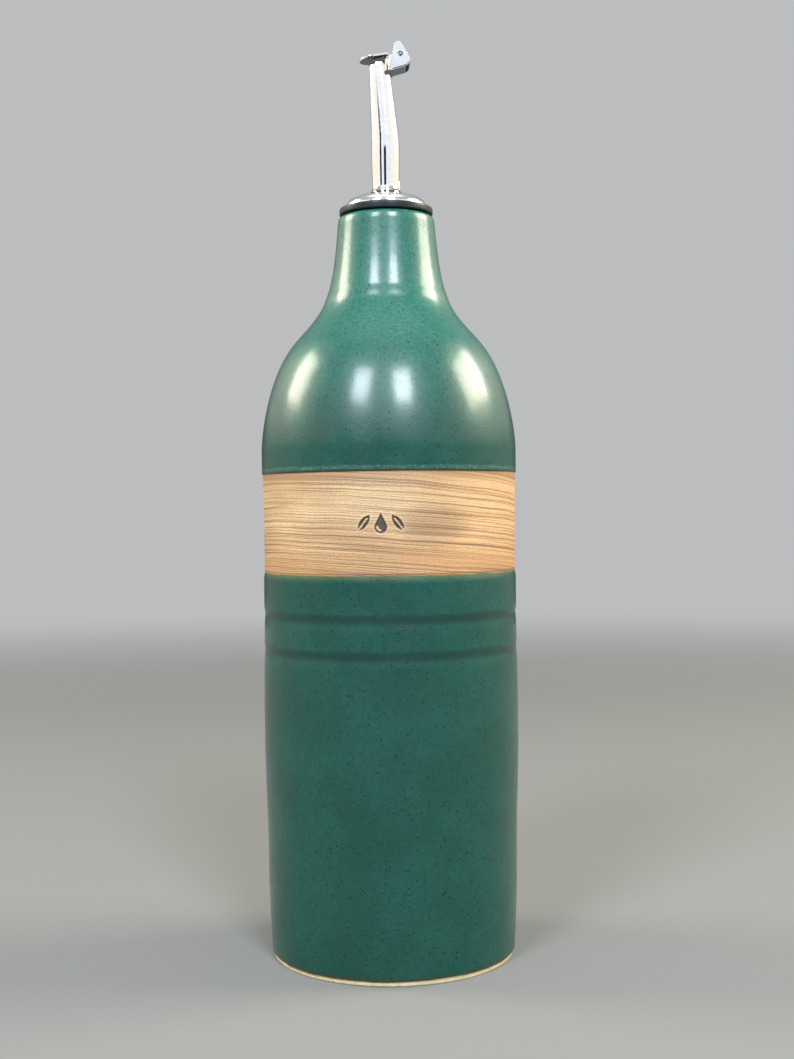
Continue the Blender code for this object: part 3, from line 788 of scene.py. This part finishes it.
def make_bracket(material):
    """The bracket: a bent cradle, two ears and a front, with room cut out for the spout and the pin."""
    inner_half_width = BRACKET_HALF_WIDTH - SHEET
    overlap = SHEET / 7
    bracket = sheet("hinge_cradle", pan_outline(), inner_half_width + overlap, upright((0.0, 0.0, 0.0)))
    added = []
    for side in (-1, 1):
        middle = Vector((0.0, side * (BRACKET_HALF_WIDTH - SHEET / 2), 0.0))
        added.append(sheet(f"ear_{side}", ear_outline(), SHEET / 2, upright(middle)))
    saddle_middle = (SADDLE_TOP + SADDLE_BOTTOM) / 2
    at_saddle = Matrix.Translation((0.0, 0.0, saddle_middle))
    added.append(sheet("saddle", saddle_outline(), (SADDLE_TOP - SADDLE_BOTTOM) / 2, at_saddle))
    joined(bracket, added, "UNION")
    rings = []
    for height in (ROOM_BOTTOM, SPOUT_TIP_HEIGHT + 4 * SHEET):
        rings.append(ring(spout_centre(height), spout_radius(height) + GAP, SPOUT_LEAN, FITTING_COLUMNS // 2))
    room = skin("room_for_spout", rings, material)
    hole = bar_across("pin_hole", PIN_CENTRE, PIN_RADIUS + PIN_CLEARANCE, 2 * BRACKET_HALF_WIDTH, PIN_COLUMNS)
    joined(bracket, [room, hole], "DIFFERENCE")
    return soften(bracket, EDGE_ROUND, material)


def make_pin(material):
    """The hinge pin, with slightly domed ends."""
    half = BRACKET_HALF_WIDTH - PIN_RECESS
    side_end = half - PIN_DOME
    dome = []
    for share in (0.0, 0.25, 0.5, 0.75, 0.92, 1.0):
        dome.append(Vector((PIN_RADIUS * share, half - PIN_DOME * share**3)))
    side = [Vector((PIN_RADIUS, z)) for z in spaced(side_end, -side_end, 0.0008)]
    far_dome = [Vector((point.x, -point.y)) for point in reversed(dome[:-1])]
    pin = turned("hinge_rivet", dome + side + far_dome, PIN_COLUMNS, material)
    pin.data.transform(upright(PIN_CENTRE))
    return pin


def lid_outline():
    """The flap's tongue seen from above, with the hinge axis at X = 0 and the tip towards -X."""
    tip_centre = Vector((LID_HALF_WIDTH - LID_TIP_REACH, 0.0))
    tip = arc(tip_centre, LID_HALF_WIDTH, QUARTER, math.radians(270), 48)
    return [*tip, (-LID_BACK_REACH, -LID_HALF_WIDTH), (-LID_BACK_REACH, LID_HALF_WIDTH)]


def stem_outline():
    """The flap's stem seen from the side, with the step that carries the tongue above it."""
    half = LID_THICKNESS / 2
    step_back = -LID_BACK_REACH - LID_THICKNESS / 5
    step_front = step_back - LID_THICKNESS
    return [
        (0.0, half),
        (step_back, half),
        (step_back, LID_ABOVE_PIN),
        (step_front, LID_ABOVE_PIN),
        (step_front, -half),
        (0.0, -half),
    ]


def make_flap(material):
    """The flap: a round lid, its stem and the barrel round the pin."""
    place = Matrix.Translation(PIN_CENTRE) @ Matrix.Rotation(-LID_TILT, 4, "Y")
    lift = Matrix.Translation((0.0, 0.0, LID_ABOVE_PIN))
    flap = sheet("flap_lid", lid_outline(), LID_THICKNESS / 2, place @ lift)
    stem = sheet("stem", stem_outline(), STEM_HALF_WIDTH, place @ upright((0.0, 0.0, 0.0)))
    barrel = bar_across("barrel", PIN_CENTRE, BARREL_RADIUS, STEM_HALF_WIDTH, 56)
    joined(flap, [stem, barrel], "UNION")
    bore = bar_across("bore", PIN_CENTRE, PIN_RADIUS + PIN_CLEARANCE, 2 * STEM_HALF_WIDTH, PIN_COLUMNS)
    joined(flap, [bore], "DIFFERENCE")
    return soften(flap, EDGE_ROUND, material)


# Materials


class Shader:
    """Builds the node tree of one material, or of the world, from short calls."""

    def __init__(self, name, owners=bpy.data.materials, surface="Principled BSDF"):
        self.material = owners.new(name)
        self.material.use_nodes = True
        self.tree = self.material.node_tree
        self.surface = self.tree.nodes[surface]
        self.colour = None

    def node(self, kind, **settings):
        node = self.tree.nodes.new(kind)
        for name, value in settings.items():
            setattr(node, name, value)
        return node

    def put(self, value, socket):
        """Sets a socket to a number or a colour, or links an output to it."""
        if isinstance(value, bpy.types.NodeSocket):
            self.tree.links.new(value, socket)
        elif isinstance(value, tuple) and len(value) == 3 and socket.type == "RGBA":
            socket.default_value = (*value, 1.0)
        else:
            socket.default_value = value

    def set(self, name, value):
        """Gives one of the surface's own inputs its value."""
        self.put(value, self.surface.inputs[name])

    def math(self, operation, first, second=0.0):
        node = self.node("ShaderNodeMath", operation=operation)
        self.put(first, node.inputs[0])
        self.put(second, node.inputs[1])
        return node.outputs[0]

    def times(self, first, second):
        return self.math("MULTIPLY", first, second)

    def plus(self, first, second):
        return self.math("ADD", first, second)

    def ramp(self, value, low, high, to_low=0.0, to_high=1.0):
        """A smooth step from one number to another as the value goes from low to high."""
        node = self.node("ShaderNodeMapRange", interpolation_type="SMOOTHSTEP")
        for number, socket in zip((value, low, high, to_low, to_high), node.inputs):
            self.put(number, socket)
        return node.outputs[0]

    def near(self, height, value, inner, outer):
        """1 within the inner distance of a height, falling to 0 at the outer one."""
        away = self.math("ABSOLUTE", self.math("SUBTRACT", height, value))
        return self.ramp(away, inner, outer, 1.0, 0.0)

    def mix(self, share, first, second):
        node = self.node("ShaderNodeMix", data_type="RGBA")
        self.put(share, node.inputs[0])
        self.put(first, node.inputs[6])
        self.put(second, node.inputs[7])
        return node.outputs[2]

    def tint(self, share, colour):
        """Lays a colour over a share of the colour so far."""
        self.colour = self.mix(share, self.colour, colour)

    def noise(self, vector, scale, detail=2.0, roughness=0.5):
        node = self.node("ShaderNodeTexNoise")
        self.put(vector, node.inputs["Vector"])
        node.inputs["Scale"].default_value = scale
        node.inputs["Detail"].default_value = detail
        node.inputs["Roughness"].default_value = roughness
        return node.outputs["Fac"]

    def place(self):
        return self.node("ShaderNodeTexCoord").outputs["Object"]

    def split(self, vector):
        node = self.node("ShaderNodeSeparateXYZ")
        self.put(vector, node.inputs[0])
        return node.outputs

    def vector(self, x, y, z):
        node = self.node("ShaderNodeCombineXYZ")
        for value, socket in zip((x, y, z), node.inputs):
            self.put(value, socket)
        return node.outputs[0]

    def bump(self, height, distance, before=None):
        node = self.node("ShaderNodeBump")
        node.inputs["Distance"].default_value = distance
        self.put(height, node.inputs["Height"])
        if before is not None:
            self.put(before, node.inputs["Normal"])
        return node.outputs[0]

    def speckles(self, vector, scale, size, share):
        """Round specks: 1 in the middle of a speck and 0 outside, in this share of the pattern's cells."""
        node = self.node("ShaderNodeTexVoronoi")
        self.put(vector, node.inputs["Vector"])
        node.inputs["Scale"].default_value = scale
        chosen = self.math("LESS_THAN", self.split(node.outputs["Color"])[0], share)
        round_speck = self.ramp(node.outputs["Distance"], size * 0.45, size, 1.0, 0.0)
        return self.times(round_speck, chosen)


def glaze_material():
    """Satin teal glaze: soft mottling, fine dark iron specks, and an olive-brown line where it thins out."""
    s = Shader("satin_teal_glaze")
    place = s.place()
    height = s.split(place)[2]
    cloudy = s.noise(place, 55.0, 3.0, 0.55)
    fine = s.noise(place, 900.0, 3.0, 0.6)
    s.colour = s.mix(s.ramp(cloudy, 0.35, 0.68), (0.0014, 0.044, 0.032), (0.0028, 0.057, 0.042))
    # Painted light: the glaze is made lighter towards the shoulder and neck, for the extra light falling on
    # them from above
    shoulder = s.ramp(height, 0.165, 0.207, 0.0, 0.9)
    s.tint(shoulder, (0.0062, 0.105, 0.078))
    grain = s.ramp(fine, 0.35, 0.65, 0.0, 0.50)
    s.tint(grain, (0.0018, 0.030, 0.023))
    dust = s.times(s.speckles(place, 1500.0, 0.36, 0.45), 0.60)
    small = s.times(s.speckles(place, 850.0, 0.36, 0.22), 0.95)
    large = s.speckles(place, 470.0, 0.23, 0.07)
    specks = s.math("MAXIMUM", s.math("MAXIMUM", small, dust), large)
    s.tint(s.times(specks, 0.90), (0.0012, 0.008, 0.008))
    wobble = s.times(s.math("SUBTRACT", s.noise(place, 260.0, 2.0), 0.5), 0.0009)
    moved = s.plus(height, wobble)
    for groove in GROOVE_HEIGHTS:
        # Darker glaze along each groove
        darker_at_groove = s.near(moved, groove - 0.0004, 0.0001, 0.0022)
        s.tint(s.times(darker_at_groove, 0.72), (0.0006, 0.017, 0.013))
    # Painted highlight: a pale, mottled line on the glaze just above the band
    painted_highlight_fringe = s.near(moved, BAND_TOP + 0.0011, 0.0002, 0.0009)
    painted_highlight_fringe = s.times(painted_highlight_fringe, s.ramp(s.noise(place, 1900.0, 3.0, 0.6), 0.42, 0.70, 0.05, 0.38))
    s.tint(painted_highlight_fringe, (0.17, 0.27, 0.24))
    edges = s.near(moved, BAND_TOP, 0.0002, 0.0006)
    edges = s.math("MAXIMUM", edges, s.near(moved, GLAZE_END, 0.0003, 0.0012))
    s.tint(s.times(edges, 0.85), (0.030, 0.028, 0.010))
    thin = s.near(moved, BAND_BOTTOM, 0.0003, 0.0021)
    s.tint(s.times(thin, 0.85), (0.060, 0.080, 0.022))
    thinnest = s.near(moved, BAND_BOTTOM, 0.0001, 0.0007)
    s.tint(s.times(thinnest, 0.60), (0.20, 0.145, 0.045))
    s.set("Base Color", s.colour)
    s.set("Roughness", s.ramp(s.noise(place, 140.0, 3.0, 0.6), 0.3, 0.7, 0.36, 0.44))
    s.set("IOR", 1.45)
    s.set("Specular IOR Level", 0.36)
    s.set("Coat Weight", 0.49)
    s.set("Coat Roughness", 0.18)
    s.set("Coat IOR", 1.45)
    skin_bump = s.bump(s.noise(place, 1500.0, 2.0, 0.5), 0.000012)
    s.set("Normal", s.bump(specks, -0.00003, skin_bump))
    return s.material


def clay_band_material():
    """Bare stoneware brushed with a brown stain in long fine lines, darker where the stamp pressed it in."""
    s = Shader("stained_bare_clay")
    place = s.place()
    x, y, height = s.split(place)
    angle = s.math("ARCTAN2", x, s.times(y, -1.0))
    along = s.times(angle, BODY_RADIUS)
    warp = s.times(s.noise(place, 36.0, 2.0), 0.0014)
    bent = s.times(s.plus(y, BODY_RADIUS), BRUSH_BEND)
    sloped = s.plus(s.plus(height, s.times(x, BRUSH_SLOPE)), s.plus(bent, warp))

    def streaks(length, width, detail, roughness):
        stretched = s.vector(s.times(x, 1.0 / length), s.times(y, 1.0 / length), s.times(sloped, 1.0 / width))
        return s.noise(stretched, 1.0, detail, roughness)

    fine = streaks(0.080, 0.00025, 3.0, 0.62)
    middle = streaks(0.080, 0.0009, 3.0, 0.6)
    broad = streaks(0.030, 0.0080, 2.0, 0.5)
    s.colour = s.mix(s.ramp(broad, 0.3, 0.7), (0.420, 0.248, 0.124), (0.550, 0.365, 0.200))
    side = s.ramp(s.math("ABSOLUTE", angle), 0.45, 1.35)
    s.tint(s.times(side, 0.45), (0.53, 0.310, 0.145))
    right = s.ramp(x, -0.006, 0.026, 0.0, 0.50)
    s.tint(right, (0.640, 0.345, 0.140))
    bottom = s.ramp(height, BAND_BOTTOM, BAND_BOTTOM + 0.016, 0.70, 0.0)
    s.tint(bottom, (0.400, 0.188, 0.066))
    light_lines = s.ramp(fine, 0.24, 0.47, 0.50, 0.0)
    s.tint(light_lines, (0.62, 0.47, 0.29))
    smudge_x = s.times(s.math("SUBTRACT", along, SMUDGE_X), 1.0 / SMUDGE_HALF_WIDTH)
    smudge_z = s.times(s.math("SUBTRACT", height, SMUDGE_HEIGHT), 1.0 / SMUDGE_HALF_HEIGHT)
    square = s.plus(s.times(smudge_x, smudge_x), s.times(smudge_z, smudge_z))
    smudge = s.times(s.ramp(square, 0.0, 1.6, 0.62, 0.0), s.ramp(middle, 0.3, 0.6, 0.45, 1.0))
    s.tint(smudge, (0.165, 0.085, 0.045))
    brown_lines = s.ramp(middle, 0.50, 0.70, 0.0, 0.46)
    s.tint(brown_lines, (0.200, 0.098, 0.044))
    dark_lines = s.ramp(fine, 0.50, 0.61, 0.0, 0.74)
    s.tint(dark_lines, (0.095, 0.047, 0.023))
    pores = s.ramp(s.noise(place, 2000.0, 3.0, 0.7), 0.42, 0.66, 0.0, 0.30)
    s.tint(pores, (0.130, 0.070, 0.036))
    top = s.ramp(height, BAND_TOP - 0.0045, BAND_TOP, 0.0, 0.60)
    s.tint(top, (0.250, 0.125, 0.055))
    # Darker clay along the band's top and bottom edges; at the top this is painted shade under the glaze's
    # overhanging edge
    edges = s.math("MAXIMUM", s.near(height, BAND_TOP, 0.0, 0.0006), s.near(height, BAND_BOTTOM, 0.0, 0.0004))
    s.tint(s.times(edges, 0.75), (0.070, 0.035, 0.014))
    pressed = s.node("ShaderNodeAttribute", attribute_name="pressed").outputs["Fac"]
    rim = s.node("ShaderNodeAttribute", attribute_name="rim").outputs["Fac"]
    # Painted highlight: the raised rim round the pressed motif is made paler
    painted_rim_highlight = s.ramp(rim, 0.45, 0.95, 0.0, 0.28)
    s.tint(painted_rim_highlight, (0.50, 0.38, 0.27))
    patchy = s.ramp(s.noise(place, 2600.0, 2.0), 0.3, 0.7, 0.88, 1.0)
    stain = s.times(s.ramp(pressed, 0.12, 0.60), patchy)
    s.tint(stain, (0.020, 0.015, 0.016))
    s.set("Base Color", s.colour)
    s.set("Roughness", s.ramp(middle, 0.3, 0.7, 0.55, 0.68))
    grain = s.bump(s.noise(place, 2200.0, 3.0, 0.6), 0.00005)
    s.set("Normal", s.bump(fine, -0.00008, grain))
    return s.material


def clay_foot_material():
    """Pale bare clay at the foot."""
    s = Shader("pale_bare_clay")
    place = s.place()
    mottled = s.noise(place, 420.0, 4.0, 0.6)
    s.colour = s.mix(s.ramp(mottled, 0.3, 0.7), (0.42, 0.330, 0.180), (0.53, 0.435, 0.262))
    specks = s.speckles(place, 700.0, 0.30, 0.12)
    s.tint(s.times(specks, 0.6), (0.20, 0.12, 0.07))
    s.set("Base Color", s.colour)
    s.set("Roughness", s.ramp(mottled, 0.3, 0.7, 0.70, 0.82))
    s.set("Normal", s.bump(s.noise(place, 2400.0, 3.0, 0.6), 0.00006))
    return s.material


def stopper_material():
    """Satin black moulding with faint wipe marks."""
    s = Shader("satin_black_stopper")
    place = s.place()
    marks = s.noise(place, 700.0, 3.0, 0.6)
    s.set("Base Color", s.mix(s.ramp(marks, 0.3, 0.7), (0.007, 0.011, 0.014), (0.013, 0.016, 0.018)))
    s.set("Roughness", s.ramp(s.noise(place, 260.0, 3.0, 0.6), 0.3, 0.7, 0.28, 0.40))
    s.set("Specular IOR Level", 0.25)
    s.set("Normal", s.bump(marks, 0.00001))
    return s.material


def steel_material():
    """Polished stainless steel with fine marks across, slightly wavy, and painted shade on its undersides."""
    s = Shader("polished_stainless_steel")
    place = s.place()
    x, y, z = s.split(place)
    across = s.vector(s.times(x, 260.0), s.times(y, 260.0), s.times(z, 3400.0))
    marks = s.noise(across, 1.0, 3.0, 0.6)
    smears = s.noise(place, 340.0, 3.0, 0.6)
    s.colour = s.mix(s.ramp(smears, 0.3, 0.7), (0.87, 0.86, 0.845), (0.94, 0.935, 0.925))
    # Painted shade: faces that point downwards, such as the lid's underside, get a dark, dull colour
    facing_up = s.split(s.node("ShaderNodeNewGeometry").outputs["Normal"])[2]
    painted_underside_shade = s.ramp(facing_up, -0.85, -0.30, 0.90, 0.0)
    s.tint(painted_underside_shade, (0.09, 0.086, 0.074))
    seam = s.times(s.near(z, SPOUT_BOTTOM, 0.0001, 0.0007), 0.80)
    s.tint(seam, (0.16, 0.14, 0.11))
    s.set("Base Color", s.colour)
    s.set("Metallic", 1.0)
    dull = s.ramp(z, SPOUT_BOTTOM + 0.0010, SPOUT_BOTTOM + 0.0030, 0.12, 0.0)
    s.set("Roughness", s.math("MAXIMUM", s.ramp(marks, 0.50, 0.66, 0.05, 0.13), dull))
    wavy = s.bump(s.noise(place, 420.0, 1.0, 0.4), 0.000004)
    s.set("Normal", s.bump(marks, 0.0000018, wavy))
    return s.material


def rivet_painted_shade_material():
    """Dark steel for the rivet: its dark colour is painted shade, for the shade of its recessed ends in their
    holes.
    """
    s = Shader("rivet_steel_painted_shade")
    s.set("Base Color", (0.075, 0.075, 0.082))
    s.set("Metallic", 1.0)
    s.set("Roughness", 0.32)
    return s.material


# Studio


def floor_material():
    """Pale matt floor that takes the backdrop's colour far from the bottle, so that no horizon shows."""
    s = Shader("pale_floor")
    x, y = s.split(s.place())[:2]
    distance = s.math("SQRT", s.plus(s.times(x, x), s.times(y, y)))
    far = s.ramp(distance, FLOOR_NEAR, FLOOR_FAR)
    s.set("Base Color", s.mix(far, FLOOR_COLOUR, (0.0, 0.0, 0.0)))
    s.set("Emission Color", BACKDROP)
    s.set("Emission Strength", far)
    s.set("Specular IOR Level", 0.0)
    return s.material


def make_floor():
    """A plain pale floor, larger than any view of the bottle."""
    profile = [Vector((radius, 0.0)) for radius in (0.0, FLOOR_NEAR, FLOOR_FAR, FLOOR_RADIUS)]
    profile += flat_end(FLOOR_RADIUS, -FLOOR_THICKNESS)[::-1]
    return turned("studio_floor", profile, 96, floor_material())


def panel(name, azimuth, elevation, distance, size, power, colour):
    """A soft light panel facing the bottle. Azimuth is from the camera's side towards +X."""
    target = Vector((0.0, 0.0, 0.15))
    a, e = math.radians(azimuth), math.radians(elevation)
    back = Vector((math.sin(a) * math.cos(e), -math.cos(a) * math.cos(e), math.sin(e)))
    light = bpy.data.lights.new(name, "AREA")
    light.shape = "RECTANGLE"
    light.size, light.size_y = size
    light.energy = power
    light.color = colour
    lamp = new_object(name, light)
    lamp.location = target + back * distance
    lamp.rotation_euler = back.to_track_quat("Z", "Y").to_euler()
    lamp.visible_camera = False


def make_world():
    """A plain pale backdrop for the camera, and a soft studio room for reflections and diffuse light.

    The room is cool in front and warm to the sides, dim near the floor's horizon, high up and behind, and
    bright overhead. Its dark uprights in front give the polished steel its dark lines.
    """
    s = Shader("studio_world", bpy.data.worlds, "Background")

    def step(value, low, high, to_low=0.0, to_high=1.0):
        """A smooth step between two angles, given in degrees."""
        return s.ramp(value, math.radians(low), math.radians(high), to_low, to_high)

    x, y, z = s.split(s.node("ShaderNodeTexCoord").outputs["Generated"])
    azimuth = s.math("ARCTAN2", x, s.times(y, -1.0))
    elevation = s.math("ARCSINE", z)
    away = s.math("ABSOLUTE", azimuth)
    side = step(away, 30, 60)
    back = step(away, 135, 160)
    s.colour = s.mix(side, (0.92, 0.98, 1.12), (1.12, 1.04, 0.90))
    s.tint(back, (0.18, 0.19, 0.20))
    for middle, half_width, top in DARK_BARS:
        off = s.math("ABSOLUTE", s.math("SUBTRACT", azimuth, math.radians(middle)))
        upright_bar = step(off, half_width, half_width + 3, 1.0, 0.0)
        below = step(elevation, top, top + 0.6, 1.0, 0.0)
        s.tint(s.times(upright_bar, below), DARK_BAR)
    low = step(elevation, 5, 10, 1.0, 0.0)
    horizon = s.mix(side, (0.03, 0.03, 0.04), (0.36, 0.38, 0.35))
    horizon = s.mix(back, horizon, (0.05, 0.05, 0.06))
    s.tint(low, horizon)
    middle_high = step(elevation, 24, 32)
    s.tint(middle_high, (0.45, 0.48, 0.48))
    high = step(elevation, 55, 75)
    s.tint(high, (1.45, 1.50, 1.50))
    seen = s.node("ShaderNodeLightPath").outputs["Is Camera Ray"]
    s.set("Color", s.mix(seen, s.colour, BACKDROP))
    s.set("Strength", 1.0)
    bpy.context.scene.world = s.material


def make_lights():
    cool = (0.83, 0.93, 1.0)
    warm = (0.97, 0.93, 0.74)
    panel("window_left", -27.5, 37.0, 1.5, (0.36, 0.475), 22.2, cool)
    panel("window_right", 15.5, 37.0, 1.5, (0.36, 0.475), 26.2, cool)
    panel("side_left", -103.0, 30.5, 1.2, (0.44, 0.45), 12.8, warm)
    panel("side_right", 98.0, 31.0, 1.2, (0.64, 0.46), 20.8, warm)


def make_camera():
    data = bpy.data.cameras.new("photo_camera")
    data.sensor_width = SENSOR
    data.lens = FOCAL_PIXELS / IMAGE_LONG_SIDE * SENSOR
    data.clip_start = 0.01
    camera = new_object("photo_camera", data)
    forward = Vector((
        math.sin(CAMERA_YAW) * math.cos(CAMERA_PITCH),
        math.cos(CAMERA_YAW) * math.cos(CAMERA_PITCH),
        math.sin(CAMERA_PITCH),
    ))
    right = Vector((math.cos(CAMERA_YAW), -math.sin(CAMERA_YAW), 0.0))
    up = right.cross(forward)
    rolled_right = math.cos(CAMERA_ROLL) * right + math.sin(CAMERA_ROLL) * up
    rolled_up = math.cos(CAMERA_ROLL) * up - math.sin(CAMERA_ROLL) * right
    turn = Matrix((rolled_right, rolled_up, -forward)).transposed().to_4x4()
    camera.matrix_world = Matrix.Translation(CAMERA_PLACE) @ turn
    bpy.context.scene.camera = camera


def dress(piece, node, body="bottle"):
    """Hides the CAD node that a piece stands for, and hangs the piece under the body it moves with."""
    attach(piece, body)
    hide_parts(node)


bpy.context.scene.view_settings.view_transform = "Standard"
make_world()
make_lights()
make_camera()
make_floor()

glaze = glaze_material()
steel = steel_material()
dress(make_upper_glaze(glaze), "bottle")
dress(make_lower_glaze(glaze), "bottle")
dress(make_clay_band(clay_band_material()), "bottle")
dress(make_clay_foot(clay_foot_material()), "bottle")
dress(make_stopper(stopper_material()), "stopper")
dress(make_collar(steel), "collar")
dress(make_spout(steel), "spout")
dress(make_vent(steel), "spout")
dress(make_bracket(steel), "hinge_bracket")
dress(make_pin(rivet_painted_shade_material()), "hinge_pin")
dress(make_flap(steel), "flap", body="flap")
